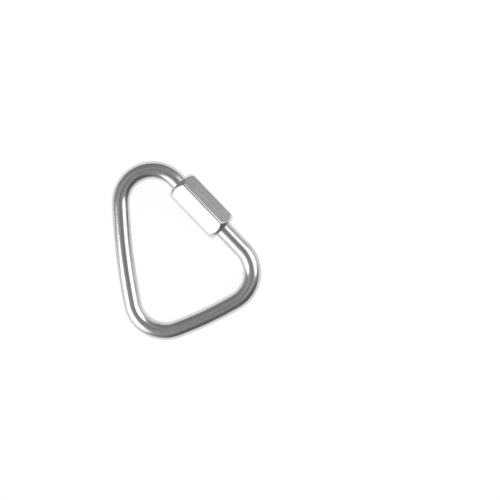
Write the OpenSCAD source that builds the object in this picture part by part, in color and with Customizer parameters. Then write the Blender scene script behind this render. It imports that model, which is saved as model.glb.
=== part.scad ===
// Triangular chain quick link: a bent round bar whose open side is shut by a long hexagon sleeve nut.
// It lies as it comes to rest, on the far base bend and on the lowest edge of the sleeve, with +Z up.

/* [Bow] */
// Diameter of the round bar
rod_d = 10; // [9.5:0.1:11]
// Clear length inside the loop, from apex to base
inside_length = 77.8; // [76:0.1:95]
// Clear width inside the loop, between the base bends
inside_width = 60; // [55:0.5:70]
// Inner radius of the apex bend
apex_inner_r = 12.9; // [12:0.1:14.9]
// Inner radius of the two base bends
base_inner_r = 13.5; // [12:0.1:15]
// Radius of the far side, which bulges a little along its whole length
far_side_r = 355; // [250:5:800]
// Radius of the base, which bulges a little too
base_side_r = 218; // [150:1:600]
// Loss of bar radius where the bar is drawn round a bend
bend_thinning = 0.02; // [0.02:0.01:0.05]

/* [Gate] */
// Clear gap between the two bar ends when the sleeve is wound back
gate_gap = 10.5; // [8:0.1:12]
// Length of the short threaded end inside the shut sleeve
short_end = 3.5; // [3:0.1:5]
// Bare straight bar between the apex bend and the shut sleeve
sleeve_offset = 2.7; // [1:0.1:4]
// Depth of the thread crests below the bar's surface
thread_under = 0.15; // [0.1:0.01:0.2]
// Chamfer on the tip of each threaded end
tip_chamfer = 0.8; // [0.4:0.1:1.2]

/* [Sleeve nut] */
// Width of the hexagon across flats
flats = 17; // [16:0.1:17.5]
// Length of the sleeve
sleeve_len = 34.9; // [33:0.1:36.5]
// Diameter of the flat ring on each end of the sleeve
end_face_d = 15.4; // [13.2:0.1:15.8]
// Radius of the crown that both end chamfers are turned to
crown_r = 10.2; // [10.2:0.1:20]
// Turn of the hexagon's top edge outwards from the link's own plane normal
hex_turn = 12; // [8:0.1:20]
// Radial play between the thread crests and the sleeve's bore
thread_clear = 0.08; // [0.05:0.01:0.1]
// Radial play of the counterbore round the plain bar
counterbore_clear = 0.4; // [0.2:0.05:0.6]
// Chamfer at both mouths of the bore
mouth_chamfer = 0.6; // [0.5:0.05:0.8]
// Cover of the shut sleeve over each thread shoulder
shoulder_cover = 0.3; // [0.25:0.05:0.35]
// Axial play between the bore's thread and the long shoulder when the sleeve is wound back
shoulder_play = 0.2; // [0.15:0.05:0.3]

/* [Hidden] */
$fn = 96;
rod_r = rod_d / 2;
bend_rod_r = rod_r - bend_thinning;
thread_r = rod_r - thread_under;
bore_r = thread_r + thread_clear;
counterbore_r = rod_r + counterbore_clear;
hex_r = flats / 2 / cos(30);
seam_lap = 0.4;
steel_colour = [0.77, 0.78, 0.79];
sleeve_colour = [0.84, 0.85, 0.86];

// Bend centres in the plane of the link, whose origin lies between the base bends
apex_r = apex_inner_r + rod_r;
base_r = base_inner_r + rod_r;
right_centre = [inside_width / 2 - base_inner_r, 0, 0];
left_centre = -right_centre;

// Centre of the base's arc, which runs on smoothly from both base bends
base_centre = [0, sqrt(pow(base_side_r - base_r, 2) - pow(right_centre.x, 2)), 0];
base_inner_y = base_centre.y - base_side_r + rod_r;
apex_centre = [0, base_inner_y + inside_length - apex_inner_r, 0];

// Lean of the straight gate side, which touches the apex bend and a base bend
centre_span = norm(right_centre - apex_centre);
lean = acos((apex_r - base_r) / centre_span) - atan2(apex_centre.y, right_centre.x);
side_length = sqrt(pow(centre_span, 2) - pow(apex_r - base_r, 2));
side_dir = [sin(lean), -cos(lean), 0];
side_normal = [cos(lean), sin(lean), 0];
side_heading = lean - 90;
side_start = apex_centre + apex_r * side_normal;

// Centre of the far side's arc, which runs on smoothly from the apex bend and the far base bend
from_apex = far_side_r - apex_r;
from_base = far_side_r - base_r;
far_along = (pow(from_apex, 2) - pow(from_base, 2) + pow(centre_span, 2)) / (2 * centre_span);
far_dir = (left_centre - apex_centre) / centre_span;
far_inward = [-far_dir.y, far_dir.x, 0];
far_centre = apex_centre + far_along * far_dir + sqrt(pow(from_apex, 2) - pow(far_along, 2)) * far_inward;

// Headings of the bar's outer side where the bends meet the two arcs
function heading(v) = (atan2(v.y, v.x) + 360) % 360;
far_top = heading(apex_centre - far_centre);
far_foot = heading(left_centre - far_centre);
base_start = heading(left_centre - base_centre);
base_end = heading(right_centre - base_centre);

// Places along the gate side, measured from the end of the apex bend
short_shoulder = sleeve_offset + shoulder_cover;
short_tip = sleeve_offset + short_end;
long_tip = short_tip + gate_gap;
long_shoulder = sleeve_offset + sleeve_len - shoulder_cover;
travel = gate_gap + short_end;
thread_zone = sleeve_len - shoulder_cover - shoulder_play - travel;

// Tilt at which the far base bend and the sleeve's lowest edge both touch the table
rest_span = (apex_centre - left_centre) * side_normal + apex_r + base_r;
edge_in = rest_span - hex_r * sin(hex_turn);
edge_down = hex_r * cos(hex_turn);
rest_tilt = atan2(edge_down, edge_in) - asin(bend_rod_r / norm([edge_in, edge_down]));

// Reach of an arc of bar along a direction of the room, used to centre the part on the table
function in_link(e) =
    e * cos(rest_tilt) - cross(side_dir, e) * sin(rest_tilt)
    + side_dir * (side_dir * e) * (1 - cos(rest_tilt));
function arc_reach(d, centre, radius, bar_r) = centre * d + radius * norm([d.x, d.y]) + bar_r;
function reach(e, centre, radius, bar_r = bend_rod_r) = arc_reach(in_link(e), centre, radius, bar_r);
rest_centre = [
    (reach([1, 0, 0], right_centre, base_r) - reach([-1, 0, 0], left_centre, base_r)) / 2,
    (reach([0, 1, 0], apex_centre, apex_r) - reach([0, -1, 0], base_centre, base_side_r, rod_r)) / 2,
    -reach([0, 0, -1], left_centre, base_r)
];

module at_rest() {
    translate(-rest_centre)
        rotate(a = rest_tilt, v = side_dir)
            children();
}

// Moves +Z onto the gate side's axis, starting at the end of the apex bend, with +X out of the loop
module on_gate_side(along = 0) {
    translate(side_start + along * side_dir)
        rotate([0, 0, side_heading])
            rotate([0, 90, 0])
                rotate([0, 0, 90])
                    children();
}

// Round bar along an arc in the plane of the link, from one heading to another
module bend(centre, radius, start, end, bar_r = bend_rod_r) {
    translate(centre)
        rotate([0, 0, start])
            rotate_extrude(angle = end - start)
                translate([radius, 0])
                    circle(r = bar_r);
}

// Side that bulges a little and laps into the bend at each end
module bowed_side(centre, radius, start, end) {
    lap = seam_lap / radius * 180 / PI;
    bend(centre, radius, start - lap, end + lap, rod_r);
}

// Bar of the given plain length whose last stretch is stepped down for a thread and chamfered at its tip
module threaded_bar(plain, length) {
    rotate_extrude()
        polygon([
            [0, -seam_lap],
            [rod_r, -seam_lap],
            [rod_r, plain],
            [thread_r, plain],
            [thread_r, length - tip_chamfer],
            [thread_r - tip_chamfer, length],
            [0, length]
        ]);
}

module link_body() {
    color(steel_colour)
        at_rest()
            union() {
                bend(apex_centre, apex_r, lean, far_top);
                bowed_side(far_centre, far_side_r, far_top, far_foot);
                bend(left_centre, base_r, far_foot, base_start);
                bowed_side(base_centre, base_side_r, base_start, base_end);
                bend(right_centre, base_r, base_end, lean + 360);
                on_gate_side()
                    threaded_bar(short_shoulder, short_tip);
                on_gate_side(side_length)
                    mirror([0, 0, 1])
                        threaded_bar(side_length - long_shoulder, side_length - long_tip);
            }
}

// Ring cutter that turns the crowned chamfer on one end of the hexagon
module crown_cutter() {
    past = 1;
    crown_centre = sqrt(pow(crown_r, 2) - pow(end_face_d / 2, 2));
    crown_len = crown_centre - sqrt(pow(crown_r, 2) - pow(hex_r, 2));
    difference() {
        translate([0, 0, -past])
            cylinder(r = crown_r, h = crown_len + 2 * past);
        translate([0, 0, crown_centre])
            sphere(r = crown_r);
    }
}

// Threaded bore at the apex end, opening into a counterbore that slides over the plain bar
module sleeve_bore() {
    step = counterbore_r - bore_r;
    past = 1;
    rotate_extrude()
        polygon([
            [0, -past],
            [bore_r + mouth_chamfer + past, -past],
            [bore_r, mouth_chamfer],
            [bore_r, thread_zone],
            [counterbore_r, thread_zone + step],
            [counterbore_r, sleeve_len - mouth_chamfer],
            [counterbore_r + mouth_chamfer + past, sleeve_len + past],
            [0, sleeve_len + past]
        ]);
}

module sleeve_nut() {
    color(sleeve_colour)
        at_rest()
            on_gate_side(sleeve_offset)
                difference() {
                    rotate([0, 0, 90 - hex_turn])
                        cylinder(r = hex_r, h = sleeve_len, $fn = 6);
                    crown_cutter();
                    translate([0, 0, sleeve_len])
                        mirror([0, 0, 1])
                            crown_cutter();
                    sleeve_bore();
                }
}

link_body();
sleeve_nut();
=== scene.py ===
"""Dressed scene of a triangular chain quick link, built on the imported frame."""
import logging
import math
from contextlib import contextmanager
from dataclasses import dataclass, field
from enum import Enum
from itertools import pairwise
from typing import Callable, Iterator, Sequence, Union

import bpy
from mathutils import Matrix, Vector


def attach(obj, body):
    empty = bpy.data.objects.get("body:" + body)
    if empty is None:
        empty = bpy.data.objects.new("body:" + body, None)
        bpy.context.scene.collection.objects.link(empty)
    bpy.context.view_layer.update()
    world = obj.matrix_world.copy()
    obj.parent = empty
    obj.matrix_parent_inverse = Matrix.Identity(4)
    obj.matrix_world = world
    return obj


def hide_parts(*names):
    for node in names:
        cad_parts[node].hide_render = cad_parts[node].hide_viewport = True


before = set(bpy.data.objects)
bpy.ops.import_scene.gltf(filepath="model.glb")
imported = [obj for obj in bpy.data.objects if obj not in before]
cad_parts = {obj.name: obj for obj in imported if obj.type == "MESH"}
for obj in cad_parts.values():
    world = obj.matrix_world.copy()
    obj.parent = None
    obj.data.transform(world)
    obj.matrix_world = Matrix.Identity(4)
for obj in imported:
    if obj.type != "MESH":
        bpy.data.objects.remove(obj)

LOG = logging.getLogger("quick_link")
TAU = 2.0 * math.pi
METRES_PER_MM = 0.001
STOCK = "stock"
TURNED = "turned"
UP = Vector((0.0, 0.0, 1.0))
SHARP_ABOVE = math.radians(32.0)
FLAT_TO_CORNER = math.radians(30.0)
MIX_FACTOR, MIX_FIRST, MIX_SECOND, MIX_RESULT = 0, 6, 7, 2
Socket = bpy.types.NodeSocket
Feed = Union[Socket, float, Sequence[float]]


class Combine(Enum):
    """The ways in which one solid is worked into another."""

    JOIN = "UNION"
    KEEP_COMMON = "INTERSECT"
    CUT = "DIFFERENCE"


class ThreadSide(Enum):
    """Which half of the screw a thread solid makes."""

    STUD = "stud"
    TAP = "tap"


class GateEnd(Enum):
    """The two bar ends that face each other across the gate."""

    SHORT = "short"
    LONG = "long"


# Workbench


def clear_selection() -> None:
    """Leave edit mode and deselect every object."""
    if bpy.context.object is not None and bpy.context.object.mode != "OBJECT":
        bpy.ops.object.mode_set(mode="OBJECT")
    bpy.ops.object.select_all(action="DESELECT")


def pick(piece: bpy.types.Object) -> None:
    """Make one object the only selected and the active one.

    Args:
        piece: The object.
    """
    clear_selection()
    piece.select_set(True)
    bpy.context.view_layer.objects.active = piece


@contextmanager
def editing(piece: bpy.types.Object) -> Iterator[None]:
    """Hold one object in edit mode with all of its mesh selected.

    Args:
        piece: The object to edit.
    """
    pick(piece)
    bpy.ops.object.mode_set(mode="EDIT")
    bpy.ops.mesh.select_all(action="SELECT")
    yield
    bpy.ops.object.mode_set(mode="OBJECT")


def close_up(distance: float = 1e-5) -> None:
    """Merge doubled vertices of the mesh being edited and turn its faces outwards.

    Args:
        distance: Length under which two vertices are merged.
    """
    bpy.ops.mesh.select_all(action="SELECT")
    bpy.ops.mesh.remove_doubles(threshold=distance)
    bpy.ops.mesh.normals_make_consistent(inside=False)


def chain(name: str, points: Sequence[Vector]) -> bpy.types.Object:
    """Draw an open chain of edges by pulling one vertex from point to point.

    Args:
        name: Name of the new object.
        points: The places that the chain passes through, in order.

    Returns:
        The object that holds the chain.
    """
    clear_selection()
    bpy.ops.mesh.primitive_plane_add(size=1.0)
    drawn = bpy.context.object
    drawn.name = name
    with editing(drawn):
        bpy.ops.mesh.merge(type="CENTER")
        bpy.ops.transform.translate(value=points[0])
        for here, there in pairwise(points):
            bpy.ops.mesh.extrude_region_move(TRANSFORM_OT_translate={"value": there - here})
    return drawn


def lathe(name: str, profile: Sequence[tuple[float, float]], steps: int) -> bpy.types.Object:
    """Spin a profile once round the Z axis into a closed solid.

    Args:
        name: Name of the new object.
        profile: Pairs of radius and height that start and end on the axis.
        steps: Number of steps in the full turn.

    Returns:
        The turned solid.
    """
    turned = chain(name, [Vector((radius, 0.0, height)) for radius, height in profile])
    with editing(turned):
        bpy.ops.mesh.spin(steps=steps, angle=TAU, center=(0.0, 0.0, 0.0), axis=UP)
        close_up()
    return turned


def apply_modifier(piece: bpy.types.Object, kind: str, **settings: object) -> None:
    """Add one modifier to an object, set it and apply it.

    Args:
        piece: The object to modify.
        kind: Blender's name for the modifier type.
        **settings: Values for the modifier's own properties.
    """
    pick(piece)
    modifier = piece.modifiers.new(kind.title(), kind)
    for key, value in settings.items():
        setattr(modifier, key, value)
    bpy.ops.object.modifier_apply(modifier=modifier.name)


def combine(piece: bpy.types.Object, tool: bpy.types.Object, how: Combine) -> None:
    """Work a tool solid into a piece and clear the tool away.

    Args:
        piece: The solid that stays.
        tool: The solid that is used up.
        how: Whether the tool is joined, cut or intersected.
    """
    apply_modifier(piece, "BOOLEAN", object=tool, operation=how.value, solver="EXACT")
    pick(tool)
    bpy.ops.object.delete()


def clear_slivers(piece: bpy.types.Object, distance: float = 0.001) -> None:
    """Merge the slivers that bevels and joined solids leave behind.

    Args:
        piece: The object to clean, still in millimetres.
        distance: Length below which an edge counts as a sliver.
    """
    with editing(piece):
        bpy.ops.mesh.dissolve_degenerate(threshold=distance)
        close_up(distance)


def settle(piece: bpy.types.Object, place: Matrix) -> None:
    """Move an object by a matrix and write the move into its mesh.

    Args:
        piece: The object to move.
        place: The move, which may hold a scale.
    """
    pick(piece)
    piece.matrix_world = place
    bpy.ops.object.transform_apply(location=True, rotation=True, scale=True)


def write_stock(piece: bpy.types.Object, unroll: Callable[[Vector], Vector]) -> None:
    """Store where each point lay in the straight stock, for patterns that follow the metal.

    Args:
        piece: The object whose mesh is still in millimetres.
        unroll: Gives the place in the straight stock for a place on the piece.
    """
    layer = piece.data.attributes.new(STOCK, "FLOAT_VECTOR", "POINT")
    for vertex, entry in zip(piece.data.vertices, layer.data):
        entry.vector = unroll(vertex.co) * METRES_PER_MM


def write_turned(piece: bpy.types.Object, is_turned: Callable[[Vector, Vector], bool]) -> None:
    """Mark the faces that a lathe tool has finished.

    Args:
        piece: The object to mark.
        is_turned: Tells it from a face's centre and normal.
    """
    layer = piece.data.attributes.new(TURNED, "FLOAT", "FACE")
    for face, entry in zip(piece.data.polygons, layer.data):
        entry.value = 1.0 if is_turned(face.center, face.normal) else 0.0


def smooth(piece: bpy.types.Object) -> None:
    """Shade an object smooth and leave its sharp edges sharp."""
    pick(piece)
    bpy.ops.object.shade_smooth_by_angle(angle=SHARP_ABOVE)


# Layout of the link


@dataclass(frozen=True)
class Arc:
    """An arc of the bar's centre line, between two headings of the bar's outer side."""

    centre: Vector
    radius: float
    start: float
    end: float

    @property
    def sweep(self) -> float:
        """Angle that the bar turns through along the arc."""
        return (self.end - self.start) % TAU

    @property
    def run(self) -> float:
        """Length of the arc."""
        return self.radius * self.sweep


def heading(toward: Vector) -> float:
    """Angle of a direction in the plane of the link."""
    return math.atan2(toward.y, toward.x)


@dataclass(frozen=True)
class LinkLayout:
    """Sizes in millimetres that both pieces share, with the places that follow from them."""

    rod_d: float = 10.0
    inside_length: float = 77.8
    inside_width: float = 60.0
    apex_inner_r: float = 12.9
    base_inner_r: float = 13.5
    far_side_r: float = 355.0
    base_side_r: float = 218.0
    bend_thinning: float = 0.02
    gate_gap: float = 10.5
    short_end: float = 3.5
    sleeve_offset: float = 2.7
    sleeve_len: float = 34.9
    shoulder_cover: float = 0.3
    shoulder_play: float = 0.2
    flats: float = 17.0
    hex_turn: float = math.radians(12.0)

    @property
    def rod_r(self) -> float:
        """Radius of the plain bar."""
        return self.rod_d / 2.0

    @property
    def drawn_r(self) -> float:
        """Radius of the bar after bending, used all along it so that no step breaks a reflection."""
        return self.rod_r - self.bend_thinning

    @property
    def hex_r(self) -> float:
        """Radius of the hexagon's corners."""
        return self.flats / 2.0 / math.cos(FLAT_TO_CORNER)

    @property
    def apex_r(self) -> float:
        """Centre-line radius of the apex bend."""
        return self.apex_inner_r + self.rod_r

    @property
    def base_r(self) -> float:
        """Centre-line radius of the base bends."""
        return self.base_inner_r + self.rod_r

    @property
    def right_centre(self) -> Vector:
        """Centre of the base bend below the gate."""
        return Vector((self.inside_width / 2.0 - self.base_inner_r, 0.0, 0.0))

    @property
    def left_centre(self) -> Vector:
        """Centre of the far base bend."""
        return -self.right_centre

    @property
    def base_centre(self) -> Vector:
        """Centre of the base's arc, which runs on from both base bends."""
        rise = math.sqrt((self.base_side_r - self.base_r) ** 2 - self.right_centre.x ** 2)
        return Vector((0.0, rise, 0.0))

    @property
    def apex_centre(self) -> Vector:
        """Centre of the apex bend."""
        base_inner_y = self.base_centre.y - self.base_side_r + self.rod_r
        return Vector((0.0, base_inner_y + self.inside_length - self.apex_inner_r, 0.0))

    @property
    def far_centre(self) -> Vector:
        """Centre of the far side's arc, which runs on from the apex bend and the far base bend.

        Returns:
            The crossing of two circles round the bends' centres, on the side of the loop.
        """
        across = self.left_centre - self.apex_centre
        from_apex, from_base = self.far_side_r - self.apex_r, self.far_side_r - self.base_r
        along = (from_apex ** 2 - from_base ** 2 + across.length_squared) / (2.0 * across.length)
        down = across.normalized()
        inward = Vector((-down.y, down.x, 0.0))
        return self.apex_centre + along * down + math.sqrt(from_apex ** 2 - along ** 2) * inward

    @property
    def lean(self) -> float:
        """Lean of the straight gate side from the link's long axis.

        Returns:
            The angle in radians at which a straight touches both of its bends.
        """
        span = self.right_centre - self.apex_centre
        closing = math.acos((self.apex_r - self.base_r) / span.length)
        return closing - math.atan2(self.apex_centre.y, self.right_centre.x)

    @property
    def side_length(self) -> float:
        """Length of the gate side between its bends."""
        span = self.right_centre - self.apex_centre
        return math.sqrt(span.length_squared - (self.apex_r - self.base_r) ** 2)

    @property
    def side_dir(self) -> Vector:
        """Direction down the gate side, from apex to base."""
        return Vector((math.sin(self.lean), -math.cos(self.lean), 0.0))

    @property
    def side_normal(self) -> Vector:
        """Direction out of the loop, square to the gate side."""
        return Vector((math.cos(self.lean), math.sin(self.lean), 0.0))

    @property
    def side_start(self) -> Vector:
        """End of the apex bend on the gate side."""
        return self.apex_centre + self.apex_r * self.side_normal

    @property
    def apex_bend(self) -> Arc:
        """The round end opposite the base."""
        return Arc(self.apex_centre, self.apex_r, self.lean, heading(self.apex_centre - self.far_centre))

    @property
    def far_side(self) -> Arc:
        """The side away from the gate, which bulges a little."""
        far = self.far_centre
        return Arc(far, self.far_side_r, heading(self.apex_centre - far), heading(self.left_centre - far))

    @property
    def left_bend(self) -> Arc:
        """The base bend away from the gate."""
        left = self.left_centre
        return Arc(left, self.base_r, heading(left - self.far_centre), heading(left - self.base_centre))

    @property
    def base_side(self) -> Arc:
        """The base, which bulges a little.

        Returns:
            The arc between the two base bends.
        """
        base = self.base_centre
        start, end = heading(self.left_centre - base), heading(self.right_centre - base)
        return Arc(base, self.base_side_r, start, end)

    @property
    def right_bend(self) -> Arc:
        """The base bend below the gate."""
        return Arc(self.right_centre, self.base_r, heading(self.right_centre - self.base_centre), self.lean)

    @property
    def arcs(self) -> tuple[Arc, ...]:
        """The arcs that the bar follows from the short end of the gate round to the long one."""
        return self.apex_bend, self.far_side, self.left_bend, self.base_side, self.right_bend

    @property
    def short_shoulder(self) -> float:
        """Place along the gate side where the short thread starts."""
        return self.sleeve_offset + self.shoulder_cover

    @property
    def short_tip(self) -> float:
        """Place along the gate side of the short end's tip."""
        return self.sleeve_offset + self.short_end

    @property
    def long_tip(self) -> float:
        """Place along the gate side of the long end's tip."""
        return self.short_tip + self.gate_gap

    @property
    def long_shoulder(self) -> float:
        """Place along the gate side where the long thread ends."""
        return self.sleeve_offset + self.sleeve_len - self.shoulder_cover

    @property
    def thread_zone(self) -> float:
        """Depth of the thread inside the sleeve, from its apex end."""
        return self.sleeve_len - self.shoulder_cover - self.shoulder_play - self.gate_gap - self.short_end

    def gate_frame(self) -> Matrix:
        """Give the frame whose Z runs down the gate side and whose X points out of the loop.

        Returns:
            The matrix from gate coordinates to the plane of the link.
        """
        axes = Matrix((self.side_normal, UP, self.side_dir)).transposed()
        return Matrix.Translation(self.side_start) @ axes.to_4x4()

    def rest_tilt(self) -> float:
        """Give the tilt at which the far bend and the sleeve's lowest edge both touch the table.

        Returns:
            The angle in radians, turned about the gate side.
        """
        span = (self.apex_centre - self.left_centre).dot(self.side_normal) + self.apex_r + self.base_r
        edge_in = span - self.hex_r * math.sin(self.hex_turn)
        edge_down = self.hex_r * math.cos(self.hex_turn)
        return math.atan2(edge_down, edge_in) - math.asin(self.drawn_r / math.hypot(edge_in, edge_down))

    def at_rest(self) -> Matrix:
        """Give the place of the link on the table, in metres.

        Returns:
            The matrix from the plane of the link, in millimetres, to the room.
        """
        turn = Matrix.Rotation(self.rest_tilt(), 4, self.side_dir)
        into_link = turn.to_3x3().inverted()

        def reach(toward: tuple[float, float, float], arc: Arc, bar_r: float) -> float:
            """Distance that an arc of bar reaches along a direction of the room."""
            inward = into_link @ Vector(toward)
            return arc.centre.dot(inward) + arc.radius * math.hypot(inward.x, inward.y) + bar_r

        right = reach((1.0, 0.0, 0.0), self.right_bend, self.drawn_r)
        left = reach((-1.0, 0.0, 0.0), self.left_bend, self.drawn_r)
        back = reach((0.0, 1.0, 0.0), self.apex_bend, self.drawn_r)
        front = reach((0.0, -1.0, 0.0), self.base_side, self.rod_r)
        down = reach((0.0, 0.0, -1.0), self.left_bend, self.drawn_r)
        middle = Vector(((right - left) / 2.0, (back - front) / 2.0, -down))
        return Matrix.Scale(METRES_PER_MM, 4) @ Matrix.Translation(-middle) @ turn


# Screw thread


@dataclass(frozen=True)
class ScrewThread:
    """Right-hand thread on the gate axis, one helix for both bar ends and the sleeve."""

    crest_r: float = 4.85
    pitch: float = 1.0
    depth: float = 0.6134
    crest_flat: float = 0.125
    flank: float = math.radians(30.0)
    crest_clear: float = 0.08
    root_clear: float = 0.143
    flank_clear: float = 0.06
    steps: int = 72
    spare_turns: int = 2
    turns_merge: float = 1e-4
    cut_exactness: float = 1e-6

    def half_profile(self, side: ThreadSide) -> tuple[float, float, float, float]:
        """Give the crest and root of one thread groove.

        Args:
            side: Stud for the bar ends, tap for the cut inside the sleeve.

        Returns:
            Crest radius, half crest width, root radius and half width at the root.
        """
        crest, root = self.crest_r, self.crest_r - self.depth
        half = self.crest_flat / 2.0
        if side is ThreadSide.TAP:
            crest += self.crest_clear
            root += self.root_clear
            half += self.flank_clear / math.cos(self.flank) - self.crest_clear * math.tan(self.flank)
        return crest, half, root, half + (crest - root) * math.tan(self.flank)

    def solid(self, name: str, side: ThreadSide, start: float, end: float) -> bpy.types.Object:
        """Cut a threaded cylinder between two places on the gate axis.

        Args:
            name: Name of the new object.
            side: Stud or tap.
            start: Place of its first end along the gate side.
            end: Place of its second end.

        Returns:
            A closed solid with its axis on Z and flat ends.
        """
        crest, crest_half, root, root_half = self.half_profile(side)
        first = math.floor(start / self.pitch) - self.spare_turns
        turns = math.ceil(end / self.pitch) + self.spare_turns - first
        low = first * self.pitch
        spots = (
            (root, -self.pitch / 2.0), (root, -root_half), (crest, -crest_half),
            (crest, crest_half), (root, root_half), (root, self.pitch / 2.0),
        )
        body = chain(name, [Vector((radius, 0.0, low + rise)) for radius, rise in spots])
        apply_modifier(
            body, "SCREW", axis="Z", angle=TAU, screw_offset=self.pitch, iterations=turns,
            steps=self.steps, render_steps=self.steps, use_merge_vertices=False,
        )
        with editing(body):
            close_up(self.turns_merge)
            for height, upper in ((start, False), (end, True)):
                bpy.ops.mesh.select_all(action="SELECT")
                bpy.ops.mesh.bisect(
                    plane_co=height * UP, plane_no=UP, use_fill=True,
                    clear_outer=upper, clear_inner=not upper, threshold=self.cut_exactness,
                )
            close_up()
        return body


# Shared surface effects


@dataclass(frozen=True)
class Ripple:
    """One layer of a surface pattern: its waves per metre of stock, and its weight in a sum."""

    across: float
    along: float
    detail: float = 0.0
    roughness: float = 0.5
    weight: float = 0.0


class Nodes:
    """Small helper that adds and joins shader nodes in one tree."""

    def __init__(self, tree: bpy.types.NodeTree) -> None:
        """Keep the tree that the nodes go into."""
        self.tree = tree

    def add(self, kind: str, **settings: object) -> bpy.types.Node:
        """Add one node and set its own properties.

        Args:
            kind: Blender's type name of the node.
            **settings: Values for the node's properties.

        Returns:
            The new node.
        """
        node = self.tree.nodes.new(kind)
        for key, value in settings.items():
            setattr(node, key, value)
        return node

    def join(self, source: Socket, target: Socket) -> None:
        """Link an output to an input."""
        self.tree.links.new(source, target)

    def feed(self, target: Socket, value: Feed) -> None:
        """Give an input either a link or a plain value.

        Args:
            target: The input.
            value: A socket to link, or a number or triple to set.
        """
        if isinstance(value, Socket):
            self.join(value, target)
        else:
            target.default_value = value

    def math(self, operation: str, *values: Feed) -> Socket:
        """Add a Math node.

        Args:
            operation: The sum that it does.
            *values: Sockets or numbers for its inputs, in order.

        Returns:
            Its output socket.
        """
        node = self.add("ShaderNodeMath", operation=operation)
        for socket, value in zip(node.inputs, values):
            self.feed(socket, value)
        return node.outputs[0]

    def total(self, *parts: tuple[Feed, float]) -> Feed:
        """Add values up, each times its weight.

        Args:
            *parts: Pairs of a value's socket and its weight.

        Returns:
            The sum's socket.
        """
        result: Feed = 0.0
        for value, weight in parts:
            result = self.math("MULTIPLY_ADD", value, weight, result)
        return result

    def remap(self, value: Feed, low: float, high: float, to_low: Feed, to_high: Feed,
              soft: bool = False) -> Socket:
        """Map a range of a value onto another range and clamp it.

        Args:
            value: Socket of the value.
            low: Start of its range.
            high: End of its range.
            to_low: Result at the start.
            to_high: Result at the end.
            soft: Whether the change eases in and out.

        Returns:
            The mapped value's socket.
        """
        node = self.add("ShaderNodeMapRange", interpolation_type="SMOOTHSTEP" if soft else "LINEAR")
        for socket, entry in zip(node.inputs, (value, low, high, to_low, to_high)):
            self.feed(socket, entry)
        return node.outputs[0]

    def noise(self, stock: Socket, layer: Ripple) -> Socket:
        """Add a Noise texture, which may be drawn out along the stock.

        Args:
            stock: Socket of the place in the stock.
            layer: How close its waves lie.

        Returns:
            Its grey value's socket.
        """
        spread = self.add("ShaderNodeVectorMath", operation="MULTIPLY")
        self.join(stock, spread.inputs[0])
        spread.inputs[1].default_value = (layer.across, layer.across, layer.along)
        node = self.add("ShaderNodeTexNoise")
        self.join(spread.outputs[0], node.inputs["Vector"])
        node.inputs["Scale"].default_value = 1.0
        node.inputs["Detail"].default_value = layer.detail
        node.inputs["Roughness"].default_value = layer.roughness
        return node.outputs["Fac"]

    def layered(self, stock: Socket, *layers: Ripple) -> tuple[Feed, list[Socket]]:
        """Add several Noise textures and their weighted sum.

        Args:
            stock: Socket of the place in the stock.
            *layers: The textures, with their weights.

        Returns:
            The sum's socket, and the textures' own sockets.
        """
        waves = [self.noise(stock, layer) for layer in layers]
        return self.total(*((wave, layer.weight) for wave, layer in zip(waves, layers))), waves


def fresh_nodes(owner: Union[bpy.types.Material, bpy.types.World]) -> Nodes:
    """Give a material or a world an empty node tree.

    Args:
        owner: The material or the world.

    Returns:
        The helper for its nodes.
    """
    owner.use_nodes = True
    owner.node_tree.nodes.clear()
    return Nodes(owner.node_tree)


class Effect(Enum):
    """Surface effects that the steel finishes share, each one shader node group."""

    DRAWN_GRAIN = "drawn_grain"
    TUMBLED_SKIN = "tumbled_skin"
    HANDLING_MARKS = "handling_marks"
    TURNED_RINGS = "turned_rings"


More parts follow.
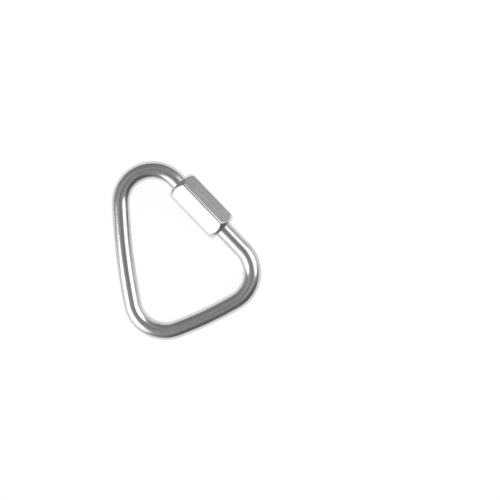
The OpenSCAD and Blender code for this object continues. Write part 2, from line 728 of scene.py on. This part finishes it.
class EffectShelf:
    """Builds each shared effect once and hands it to the materials.

    A maker gets the nodes of the effect's group and the socket of the place in the stock.
    It returns the sockets of the height and the mask.
    """

    FINE_LINES = Ripple(across=5200.0, along=210.0, detail=3.0, roughness=0.6, weight=0.65)
    STREAKS = Ripple(across=1250.0, along=16.0, detail=2.0, roughness=0.55, weight=7.0)
    FLUTES = Ripple(across=480.0, along=7.0, detail=1.0, weight=20.0)
    STREAKS_IN_MASK = 0.65
    LINES_SHOW = (0.38, 0.62)
    SWELL = Ripple(across=420.0, along=420.0, detail=2.0, weight=0.6)
    SAND = Ripple(across=4200.0, along=4200.0, detail=3.0, roughness=0.65, weight=0.4)
    MOTTLE = Ripple(across=1300.0, along=1300.0, detail=2.0, roughness=0.6, weight=12.0)
    PITS_SHOW = (0.60, 0.74)
    PIT_DULLNESS = 0.5
    MOTTLE_SHOWS = (0.36, 0.64)
    SCRATCHES = (
        ((0.35, 0.245, 0.49), Ripple(across=2300.0, along=60.0)),
        ((1.2, 0.84, 1.68), Ripple(across=2600.0, along=75.0)),
        ((2.3, 1.61, 3.22), Ripple(across=2000.0, along=52.0)),
    )
    SCRATCH_LEVEL = 0.72
    SCRATCH_HALF_WIDTH = 0.012
    RING_PITCH = 0.00016
    RING_DRIFT = Ripple(across=300.0, along=300.0, detail=1.0, weight=0.00006)
    RING_MASK_POWER = 3.0

    def __init__(self) -> None:
        """Start with no group built."""
        self.groups: dict[Effect, bpy.types.NodeTree] = {}
        self.makers: dict[Effect, Callable[[Nodes, Socket], tuple[Feed, Feed]]] = {
            Effect.DRAWN_GRAIN: self._drawn_grain,
            Effect.TUMBLED_SKIN: self._tumbled_skin,
            Effect.HANDLING_MARKS: self._handling_marks,
            Effect.TURNED_RINGS: self._turned_rings,
        }

    def get(self, effect: Effect) -> bpy.types.NodeTree:
        """Give the node group of an effect and build it when it is first asked for.

        Args:
            effect: The effect.

        Returns:
            Its node group, with a Vector and an Amount input, a Height and a Mask output.
        """
        if effect not in self.groups:
            group = bpy.data.node_groups.new(effect.value, "ShaderNodeTree")
            group.interface.new_socket("Vector", in_out="INPUT", socket_type="NodeSocketVector")
            group.interface.new_socket("Amount", in_out="INPUT", socket_type="NodeSocketFloat")
            group.interface.new_socket("Height", in_out="OUTPUT", socket_type="NodeSocketFloat")
            group.interface.new_socket("Mask", in_out="OUTPUT", socket_type="NodeSocketFloat")
            nodes = Nodes(group)
            inlet, outlet = nodes.add("NodeGroupInput").outputs, nodes.add("NodeGroupOutput").inputs
            height, mask = self.makers[effect](nodes, inlet["Vector"])
            nodes.join(nodes.math("MULTIPLY", height, inlet["Amount"]), outlet["Height"])
            nodes.join(nodes.math("MULTIPLY", mask, inlet["Amount"]), outlet["Mask"])
            self.groups[effect] = group
        return self.groups[effect]

    def _drawn_grain(self, nodes: Nodes, stock: Socket) -> tuple[Feed, Feed]:
        """Draw lines along the stock: fine ones, long streaks and the faint flutes of the drawing die."""
        relief, (fine, streak, _) = nodes.layered(stock, self.FINE_LINES, self.STREAKS, self.FLUTES)
        lines = nodes.total((fine, 1.0 - self.STREAKS_IN_MASK), (streak, self.STREAKS_IN_MASK))
        return relief, nodes.remap(lines, *self.LINES_SHOW, 0.0, 1.0)

    def _tumbled_skin(self, nodes: Nodes, stock: Socket) -> tuple[Feed, Feed]:
        """Lay the soft unevenness and tiny pits that tumbling leaves."""
        relief, (_, sand, mottle) = nodes.layered(stock, self.SWELL, self.SAND, self.MOTTLE)
        pits = nodes.remap(sand, *self.PITS_SHOW, 0.0, self.PIT_DULLNESS, soft=True)
        return relief, nodes.math("ADD", pits, nodes.remap(mottle, *self.MOTTLE_SHOWS, 0.0, 1.0))

    def _handling_marks(self, nodes: Nodes, stock: Socket) -> tuple[Feed, Feed]:
        """Scatter thin straight scratches in three directions."""
        marks: Feed = 0.0
        for turn, layer in self.SCRATCHES:
            turned = nodes.add("ShaderNodeVectorRotate", rotation_type="EULER_XYZ")
            nodes.join(stock, turned.inputs["Vector"])
            turned.inputs["Rotation"].default_value = turn
            line = nodes.noise(turned.outputs[0], layer)
            off = nodes.math("ABSOLUTE", nodes.math("SUBTRACT", line, self.SCRATCH_LEVEL))
            thin = nodes.remap(off, 0.0, self.SCRATCH_HALF_WIDTH, 1.0, 0.0)
            marks = nodes.math("MAXIMUM", thin, marks)
        return nodes.math("MULTIPLY", marks, -1.0), marks

    def _turned_rings(self, nodes: Nodes, stock: Socket) -> tuple[Feed, Feed]:
        """Lay the fine feed rings of a lathe round the stock's axis."""
        parts = nodes.add("ShaderNodeSeparateXYZ")
        nodes.join(stock, parts.inputs[0])
        squares = [nodes.math("POWER", parts.outputs[axis], 2.0) for axis in ("X", "Y")]
        across = nodes.math("SQRT", nodes.math("ADD", *squares))
        along = nodes.math("ABSOLUTE", parts.outputs["Z"])
        drift = nodes.noise(stock, self.RING_DRIFT)
        path = nodes.total((across, 1.0), (along, 1.0), (drift, self.RING_DRIFT.weight))
        ring = nodes.math("SINE", nodes.math("MULTIPLY", path, TAU / self.RING_PITCH))
        height = nodes.remap(ring, -1.0, 1.0, 0.0, 1.0)
        return height, nodes.math("POWER", height, self.RING_MASK_POWER)


@dataclass(frozen=True)
class SteelFinish:
    """A polished stainless steel finish made of the shared effects."""

    name: str
    colour: tuple[float, float, float]
    shade: tuple[float, float, float]
    smoothest: float
    roughest: float
    grain: float
    skin: float
    marks: float
    rings: float
    relief: float
    cloud: Ripple = Ripple(across=95.0, along=95.0, detail=2.0, weight=0.30)
    worn_from: float = 0.30
    worn_to: float = 0.95

    def material(self, shelf: EffectShelf) -> bpy.types.Material:
        """Build the material.

        Args:
            shelf: Where the shared effects come from.

        Returns:
            The finished material.
        """
        steel = bpy.data.materials.new(self.name)
        nodes = fresh_nodes(steel)
        stock = nodes.add("ShaderNodeAttribute", attribute_name=STOCK).outputs["Vector"]
        turned = nodes.add("ShaderNodeAttribute", attribute_name=TURNED).outputs["Fac"]
        plain = nodes.math("SUBTRACT", 1.0, turned)
        amounts = {
            Effect.DRAWN_GRAIN: nodes.math("MULTIPLY", plain, self.grain),
            Effect.TUMBLED_SKIN: nodes.math("MULTIPLY", plain, self.skin),
            Effect.HANDLING_MARKS: nodes.math("MULTIPLY", plain, self.marks),
            Effect.TURNED_RINGS: nodes.math("MULTIPLY", turned, self.rings),
        }
        height: Feed = 0.0
        mask: Feed = 0.0
        for effect, amount in amounts.items():
            group = nodes.add("ShaderNodeGroup", node_tree=shelf.get(effect))
            nodes.join(stock, group.inputs["Vector"])
            nodes.join(amount, group.inputs["Amount"])
            height = nodes.math("ADD", group.outputs["Height"], height)
            mask = nodes.math("ADD", group.outputs["Mask"], mask)
        clouded = self.cloud.weight
        wear = nodes.total((mask, 1.0 - clouded), (nodes.noise(stock, self.cloud), clouded))
        worn = nodes.remap(wear, self.worn_from, self.worn_to, 0.0, 1.0)
        dull = nodes.remap(wear, self.worn_from, self.worn_to, self.smoothest, self.roughest)
        tint = nodes.add("ShaderNodeMix", data_type="RGBA")
        nodes.join(worn, tint.inputs[MIX_FACTOR])
        tint.inputs[MIX_FIRST].default_value = (*self.colour, 1.0)
        tint.inputs[MIX_SECOND].default_value = (*self.shade, 1.0)
        bump = nodes.add("ShaderNodeBump")
        bump.inputs["Strength"].default_value = 1.0
        bump.inputs["Distance"].default_value = self.relief
        nodes.join(height, bump.inputs["Height"])
        shader = nodes.add("ShaderNodeBsdfPrincipled")
        shader.inputs["Metallic"].default_value = 1.0
        nodes.join(tint.outputs[MIX_RESULT], shader.inputs["Base Color"])
        nodes.join(dull, shader.inputs["Roughness"])
        nodes.join(bump.outputs["Normal"], shader.inputs["Normal"])
        nodes.join(shader.outputs[0], nodes.add("ShaderNodeOutputMaterial").inputs["Surface"])
        return steel


BAR_STEEL = SteelFinish(
    name="polished_bar_steel", colour=(0.80, 0.805, 0.81), shade=(0.55, 0.555, 0.56),
    smoothest=0.09, roughest=0.22, grain=0.9, skin=0.45, marks=0.5, rings=1.0, relief=0.0000026,
)
SLEEVE_STEEL = SteelFinish(
    name="polished_sleeve_steel", colour=(0.80, 0.805, 0.81), shade=(0.60, 0.605, 0.61),
    smoothest=0.07, roughest=0.15, grain=0.25, skin=0.9, marks=0.5, rings=1.0, relief=0.0000032,
)


# The two pieces


@dataclass
class BentBar:
    """The round bar bent to a triangle, with a threaded stud on each side of the gate."""

    layout: LinkLayout
    thread: ScrewThread
    finish: SteelFinish
    sides: int = 96
    degrees_per_step: float = 3.0
    fewest_steps: int = 16
    shoulder_chamfer: float = 0.38
    tip_chamfer: float = 0.8
    root_lap: float = 1.6
    blank_lead: float = 0.3
    thread_overrun: float = 0.5
    past_end_weight: float = 4.0

    def build(self) -> bpy.types.Object:
        """Model the whole bar and lay it on the table.

        Returns:
            The finished piece.
        """
        bar = self._sweep()
        for end in GateEnd:
            combine(bar, self._stud(end), Combine.JOIN)
        clear_slivers(bar)
        write_stock(bar, self._unbend)
        write_turned(bar, self._is_turned)
        settle(bar, self.layout.at_rest())
        smooth(bar)
        return bar

    def dress(self, bar: bpy.types.Object, shelf: EffectShelf) -> None:
        """Give the bar its steel and tie it to the frame.

        Args:
            bar: The finished piece.
            shelf: Where the shared effects come from.
        """
        bar.data.materials.append(self.finish.material(shelf))
        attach(bar, "link")
        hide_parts("link_body")

    def _sweep(self) -> bpy.types.Object:
        """Draw the bar round its bends, from the short shoulder to the long one.

        Returns:
            The closed bar without its studs.
        """
        plan = self.layout
        up = -plan.side_dir
        clear_selection()
        bpy.ops.mesh.primitive_circle_add(
            vertices=self.sides, radius=plan.drawn_r - self.shoulder_chamfer, fill_type="NOTHING",
            location=plan.side_start + plan.short_shoulder * plan.side_dir,
            rotation=(math.pi / 2.0, 0.0, plan.lean),
        )
        bar = bpy.context.object
        bar.name = "bent_bar"
        bpy.ops.object.transform_apply(location=True, rotation=True, scale=True)
        widen = plan.drawn_r / (plan.drawn_r - self.shoulder_chamfer)
        bare = plan.short_shoulder - self.shoulder_chamfer
        with editing(bar):
            self._pull(up * self.shoulder_chamfer)
            self._resize(widen, plan.side_start + bare * plan.side_dir)
            self._pull(up * bare)
            for arc in plan.arcs:
                self._turn(arc)
            self._pull(up * (plan.side_length - plan.long_shoulder - self.shoulder_chamfer))
            self._pull(up * self.shoulder_chamfer)
            self._resize(1.0 / widen, plan.side_start + plan.long_shoulder * plan.side_dir)
            bpy.ops.mesh.select_all(action="SELECT")
            bpy.ops.mesh.fill_holes(sides=0)
            close_up()
        return bar

    @staticmethod
    def _pull(move: Vector) -> None:
        """Extrude the selected ring along a straight."""
        bpy.ops.mesh.extrude_region_move(TRANSFORM_OT_translate={"value": move})

    @staticmethod
    def _resize(factor: float, centre: Vector) -> None:
        """Scale the selected ring about its own centre."""
        bpy.ops.transform.resize(value=(factor, factor, factor), center_override=centre)

    def _turn(self, arc: Arc) -> None:
        """Spin the selected ring along an arc, anticlockwise seen from above."""
        steps = max(self.fewest_steps, round(math.degrees(arc.sweep) / self.degrees_per_step))
        bpy.ops.mesh.spin(steps=steps, angle=-arc.sweep, center=arc.centre, axis=UP)

    def _stud(self, end: GateEnd) -> bpy.types.Object:
        """Make one threaded end with a chamfered tip.

        Args:
            end: Which side of the gate it is on.

        Returns:
            The stud, set into the bar by a little lap.
        """
        plan = self.layout
        if end is GateEnd.SHORT:
            tip, root, outward = plan.short_tip, plan.short_shoulder - self.root_lap, 1.0
        else:
            tip, root, outward = plan.long_tip, plan.long_shoulder + self.root_lap, -1.0
        low, high = min(tip, root) - self.thread_overrun, max(tip, root) + self.thread_overrun
        stud = self.thread.solid(f"{end.value}_stud", ThreadSide.STUD, low, high)
        crest, lead = self.thread.crest_r, self.blank_lead
        blank = lathe(f"{end.value}_blank", [
            (0.0, root), (crest - lead, root), (crest + lead, root + 2.0 * lead * outward),
            (crest + lead, tip - (self.tip_chamfer + lead) * outward),
            (crest - self.tip_chamfer, tip), (0.0, tip),
        ], self.sides)
        combine(stud, blank, Combine.KEEP_COMMON)
        settle(stud, plan.gate_frame())
        return stud

    def _unbend(self, spot: Vector) -> Vector:
        """Give where a point of the bar lay before the bar was bent.

        Args:
            spot: A place in the plane of the link.

        Returns:
            Two distances across the bar and one along it.
        """
        plan = self.layout
        down = (spot - plan.side_start).dot(plan.side_dir)
        out = (spot - plan.side_start).dot(plan.side_normal)
        if abs(out) < plan.rod_d and 0.0 < down < plan.side_length:
            if down < (plan.short_tip + plan.long_tip) / 2.0:
                return Vector((out, spot.z, -down))
            return Vector((out, spot.z, sum(arc.run for arc in plan.arcs) + plan.side_length - down))
        found: list[tuple[float, float, float]] = []
        before = 0.0
        for arc in plan.arcs:
            arm = spot - arc.centre
            angle = (heading(arm) - arc.start + math.pi) % TAU - math.pi
            off = math.hypot(arm.x, arm.y) - arc.radius
            past = max(0.0, -angle, angle - arc.sweep) * arc.radius
            away = math.hypot(off, spot.z) + self.past_end_weight * past
            found.append((away, off, before + angle * arc.radius))
            before += arc.run
        _, off, along = min(found)
        return Vector((off, spot.z, along))

    def _is_turned(self, spot: Vector, normal: Vector) -> bool:
        """Tell whether a face belongs to a stud or a shoulder.

        Args:
            spot: The face's centre in the plane of the link.
            normal: Its normal, which isn't needed here.

        Returns:
            True for a face between the two shoulders.
        """
        plan = self.layout
        along = (spot - plan.side_start).dot(plan.side_dir)
        near = abs((spot - plan.side_start).dot(plan.side_normal)) < plan.rod_d
        low, high = plan.short_shoulder - self.shoulder_chamfer, plan.long_shoulder + self.shoulder_chamfer
        return near and low <= along <= high


@dataclass
class HexSleeve:
    """The long hexagon sleeve nut that winds along the gate side."""

    layout: LinkLayout
    thread: ScrewThread
    finish: SteelFinish
    end_face_d: float = 15.3
    end_slope: float = math.radians(36.0)
    mouth_chamfer: float = 0.6
    counterbore_clear: float = 0.4
    core_r: float = 3.6
    tap_before: float = 0.4
    tap_past: float = 0.6
    overrun: float = 1.0
    ridge_r: float = 1.35
    ridge_steps: int = 4
    edge_round: float = 0.30
    edge_steps: int = 4
    edge_angle: float = math.radians(22.0)
    cone_sides: int = 48
    bore_sides: int = 144
    flats_beyond: float = 7.0
    flats_lean: float = 0.2
    flats_weight: int = 80

    def build(self) -> bpy.types.Object:
        """Model the sleeve and lay it on the table with the link.

        Returns:
            The finished piece.
        """
        plan = self.layout
        sleeve = self._hexagon()
        combine(sleeve, self._chamfered_blank(), Combine.KEEP_COMMON)
        apply_modifier(
            sleeve, "BEVEL", width=self.edge_round, segments=self.edge_steps, limit_method="ANGLE",
            angle_limit=self.edge_angle, use_clamp_overlap=False,
        )
        clear_slivers(sleeve)
        combine(sleeve, self._bore(), Combine.CUT)
        low = plan.sleeve_offset - self.tap_before
        high = plan.sleeve_offset + plan.thread_zone + self.tap_past
        combine(sleeve, self.thread.solid("tap", ThreadSide.TAP, low, high), Combine.CUT)
        clear_slivers(sleeve)
        write_stock(sleeve, lambda spot: spot)
        write_turned(sleeve, self._is_turned)
        settle(sleeve, plan.at_rest() @ plan.gate_frame())
        smooth(sleeve)
        apply_modifier(sleeve, "WEIGHTED_NORMAL", keep_sharp=True, weight=self.flats_weight)
        return sleeve

    def dress(self, sleeve: bpy.types.Object, shelf: EffectShelf) -> None:
        """Give the sleeve its steel and tie it to the frame.

        Args:
            sleeve: The finished piece.
            shelf: Where the shared effects come from.
        """
        sleeve.data.materials.append(self.finish.material(shelf))
        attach(sleeve, "sleeve")
        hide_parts("sleeve_nut")

    def _hexagon(self) -> bpy.types.Object:
        """Cut a length of hexagon bar with rounded ridges and turn one of them outwards.

        Returns:
            The plain prism on the gate axis.
        """
        plan = self.layout
        middle = plan.sleeve_offset + plan.sleeve_len / 2.0
        clear_selection()
        bpy.ops.mesh.primitive_cylinder_add(
            vertices=6, radius=plan.hex_r, depth=plan.sleeve_len + 2.0 * self.overrun,
            location=(0.0, 0.0, middle), rotation=(0.0, 0.0, -plan.hex_turn),
        )
        prism = bpy.context.object
        prism.name = "hex_sleeve"
        bpy.ops.object.transform_apply(location=True, rotation=True, scale=True)
        set_back = self.ridge_r * math.tan(FLAT_TO_CORNER)
        apply_modifier(prism, "BEVEL", width=set_back, segments=self.ridge_steps)
        return prism

    def _chamfered_blank(self) -> bpy.types.Object:
        """Turn the blank whose coned ends cut the chamfers.

        Returns:
            The blank, a little wider than the hexagon.
        """
        plan = self.layout
        low, high = plan.sleeve_offset, plan.sleeve_offset + plan.sleeve_len
        face_r, blank_r = self.end_face_d / 2.0, plan.hex_r + self.overrun
        drop = (blank_r - face_r) / math.tan(self.end_slope)
        return lathe("chamfered_blank", [
            (0.0, low), (face_r, low), (blank_r, low + drop),
            (blank_r, high - drop), (face_r, high), (0.0, high),
        ], self.cone_sides)

    def _bore(self) -> bpy.types.Object:
        """Turn the cutter for the countersunk mouth and the counterbore.

        Returns:
            The cutter, which leaves the threaded stretch to the tap.
        """
        plan = self.layout
        low, high = plan.sleeve_offset, plan.sleeve_offset + plan.sleeve_len
        bore_r = self.thread.crest_r + self.thread.crest_clear
        wide = plan.rod_r + self.counterbore_clear
        core, mouth, past = self.core_r, self.mouth_chamfer, self.overrun
        zone = low + plan.thread_zone
        return lathe("bore_cutter", [
            (0.0, low - past), (bore_r + mouth + past, low - past), (core, low + mouth + bore_r - core),
            (core, zone - (bore_r - core)), (wide, zone + wide - bore_r), (wide, high - mouth),
            (wide + mouth + past, high + past), (0.0, high + past),
        ], self.bore_sides)

    def _is_turned(self, spot: Vector, normal: Vector) -> bool:
        """Tell whether a face is a turned end, chamfer or bore and not one of the flats."""
        outside = math.hypot(spot.x, spot.y) > self.flats_beyond
        return not outside or abs(normal.z) > self.flats_lean


# Studio


@dataclass(frozen=True)
class Softbox:
    """One round soft lamp, placed by its bearing in the picture and its angle from overhead, in degrees."""

    name: str
    bearing: float
    from_zenith: float
    width: float
    height: float
    radiance: float
    distance: float = 1.6

    def hang(self, studio: "Studio") -> bpy.types.Object:
        """Hang the lamp and aim it at the object.

        Args:
            studio: The studio, which knows how the picture lies in the room.

        Returns:
            The lamp.
        """
        lamp = bpy.data.lights.new(self.name, "AREA")
        lamp.shape = "ELLIPSE"
        lamp.size = 2.0 * self.distance * math.tan(math.radians(self.width) / 2.0)
        lamp.size_y = 2.0 * self.distance * math.tan(math.radians(self.height) / 2.0)
        lamp.energy = self.radiance * math.pi * (math.pi / 4.0 * lamp.size * lamp.size_y)
        body = bpy.data.objects.new(self.name, lamp)
        bpy.context.scene.collection.objects.link(body)
        toward = studio.direction(self.bearing, self.from_zenith)
        level = UP.cross(toward).normalized()
        turn = Matrix((level, toward.cross(level), toward)).transposed()
        body.matrix_world = Matrix.Translation(studio.aim + toward * self.distance) @ turn.to_4x4()
        body.visible_camera = False
        return body


@dataclass(frozen=True)
class RoomPatch:
    """One lighter or darker part of the room, round a direction given in degrees as for a lamp."""

    name: str
    bearing: float
    from_zenith: float
    core: float
    reach: float
    change: float


@dataclass(frozen=True)
class Studio:
    """White table, soft lamps, grey room and the overhead camera."""

    aim: Vector = field(default_factory=lambda: Vector((0.0, 0.0, 0.008)))
    picture_turn: float = math.radians(-25.253)
    camera_spot: tuple[float, float, float] = (0.03736, -0.02074, 0.77711)
    lens: float = 100.0
    table_size: float = 8.0
    table_cuts: int = 3
    table_glow: float = 0.90
    table_mirrored: float = 0.82
    table_tone: float = 0.20
    table_near: float = 0.07
    table_far: float = 0.40
    room_tone: float = 0.31
    lamps: tuple[Softbox, ...] = (
        Softbox("left_softbox", bearing=213.0, from_zenith=65.0, width=51.0, height=61.0, radiance=1.36),
        Softbox("right_softbox", bearing=18.5, from_zenith=46.0, width=48.0, height=47.0, radiance=1.40),
    )
    patches: tuple[RoomPatch, ...] = (
        RoomPatch("dim side", bearing=-58.0, from_zenith=82.0, core=30.0, reach=46.0, change=-0.14),
        RoomPatch("high spot", bearing=-40.0, from_zenith=31.0, core=6.0, reach=18.0, change=0.11),
        RoomPatch("next spot", bearing=-68.0, from_zenith=25.0, core=5.0, reach=14.0, change=0.07),
        RoomPatch("low spot", bearing=-65.0, from_zenith=67.0, core=5.0, reach=14.0, change=0.07),
        RoomPatch("bright wall", bearing=26.0, from_zenith=65.0, core=9.0, reach=30.0, change=0.47),
        RoomPatch("dark spot overhead", bearing=0.0, from_zenith=0.0, core=2.0, reach=14.0, change=-0.10),
        RoomPatch("pale ceiling", bearing=0.0, from_zenith=0.0, core=24.0, reach=44.0, change=0.05),
        RoomPatch("left lamp glow", bearing=205.0, from_zenith=60.0, core=26.0, reach=64.0, change=0.12),
        RoomPatch("right lamp glow", bearing=25.0, from_zenith=45.0, core=22.0, reach=52.0, change=0.10),
    )

    def picture_axes(self) -> tuple[Vector, Vector]:
        """Give the room directions of the picture's right and up.

        Returns:
            Two level unit vectors.
        """
        right = Vector((math.cos(self.picture_turn), math.sin(self.picture_turn), 0.0))
        return right, Vector((-right.y, right.x, 0.0))

    def direction(self, bearing: float, from_zenith: float) -> Vector:
        """Give a room direction from its bearing in the picture and its angle from overhead.

        Args:
            bearing: Angle in the picture in degrees, anticlockwise from its right.
            from_zenith: Angle from straight up in degrees.

        Returns:
            A unit vector.
        """
        right, up = self.picture_axes()
        around, down = math.radians(bearing), math.radians(from_zenith)
        level = right * math.cos(around) + up * math.sin(around)
        return level * math.sin(down) + UP * math.cos(down)

    def build(self) -> None:
        """Set up the whole studio."""
        scene = bpy.context.scene
        scene.view_settings.view_transform = "Standard"
        self._table()
        for lamp in self.lamps:
            lamp.hang(self)
        self._room(scene)
        self._camera(scene)

    def _table(self) -> None:
        """Lay the white table, which keeps the object's soft shadow."""
        clear_selection()
        bpy.ops.mesh.primitive_plane_add(size=self.table_size)
        table = bpy.context.object
        table.name = "table"
        with editing(table):
            bpy.ops.mesh.subdivide(number_cuts=self.table_cuts)
        paper = bpy.data.materials.new("white_table")
        nodes = fresh_nodes(paper)
        rays = nodes.add("ShaderNodeLightPath").outputs
        seen = nodes.math("MAXIMUM", rays["Is Camera Ray"], rays["Is Transmission Ray"])
        away = nodes.add("ShaderNodeVectorMath", operation="LENGTH")
        nodes.join(nodes.add("ShaderNodeTexCoord").outputs["Object"], away.inputs[0])
        near = nodes.remap(away.outputs["Value"], self.table_near, self.table_far,
                           self.table_mirrored, self.room_tone, soft=True)
        mirrored = nodes.math("MULTIPLY", rays["Is Glossy Ray"], near)
        matt = nodes.add("ShaderNodeBsdfDiffuse")
        matt.inputs["Color"].default_value = (self.table_tone, self.table_tone, self.table_tone, 1.0)
        glow = nodes.add("ShaderNodeEmission")
        nodes.join(nodes.math("MULTIPLY_ADD", seen, self.table_glow, mirrored), glow.inputs["Strength"])
        both = nodes.add("ShaderNodeAddShader")
        nodes.join(matt.outputs[0], both.inputs[0])
        nodes.join(glow.outputs[0], both.inputs[1])
        nodes.join(both.outputs[0], nodes.add("ShaderNodeOutputMaterial").inputs["Surface"])
        table.data.materials.append(paper)

    def _room(self, scene: bpy.types.Scene) -> None:
        """Make the grey room, with the dim side, the glow round the lamps and the dark spot overhead.

        Args:
            scene: The scene that gets the room.
        """
        room = bpy.data.worlds.new("grey_room")
        nodes = fresh_nodes(room)
        outlook = nodes.add("ShaderNodeTexCoord").outputs["Generated"]
        tone: Feed = self.room_tone
        for patch in self.patches:
            facing = nodes.add("ShaderNodeVectorMath", operation="DOT_PRODUCT", label=patch.name)
            nodes.join(outlook, facing.inputs[0])
            facing.inputs[1].default_value = self.direction(patch.bearing, patch.from_zenith)
            low, high = math.cos(math.radians(patch.reach)), math.cos(math.radians(patch.core))
            change = nodes.remap(facing.outputs["Value"], low, high, 0.0, patch.change, soft=True)
            tone = nodes.math("ADD", change, tone)
        back = nodes.add("ShaderNodeBackground")
        nodes.join(tone, back.inputs["Strength"])
        nodes.join(back.outputs[0], nodes.add("ShaderNodeOutputWorld").inputs["Surface"])
        scene.world = room

    def _camera(self, scene: bpy.types.Scene) -> None:
        """Hang the camera straight above the table.

        Args:
            scene: The scene that gets the camera.
        """
        lens = bpy.data.cameras.new("camera")
        lens.lens = self.lens
        lens.sensor_width = 36.0
        lens.clip_start = 0.01
        camera = bpy.data.objects.new("camera", lens)
        camera.location = self.camera_spot
        camera.rotation_euler = (0.0, 0.0, self.picture_turn)
        scene.collection.objects.link(camera)
        scene.camera = camera


def main() -> None:
    """Build the link, dress it and set up the studio."""
    logging.basicConfig(level=logging.INFO, format="%(name)s: %(message)s")
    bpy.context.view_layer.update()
    layout, thread, shelf = LinkLayout(), ScrewThread(), EffectShelf()
    for maker in (BentBar(layout, thread, BAR_STEEL), HexSleeve(layout, thread, SLEEVE_STEEL)):
        piece = maker.build()
        maker.dress(piece, shelf)
        LOG.info("%s: %d faces", piece.name, len(piece.data.polygons))
    Studio().build()


if __name__ == "__main__":
    main()
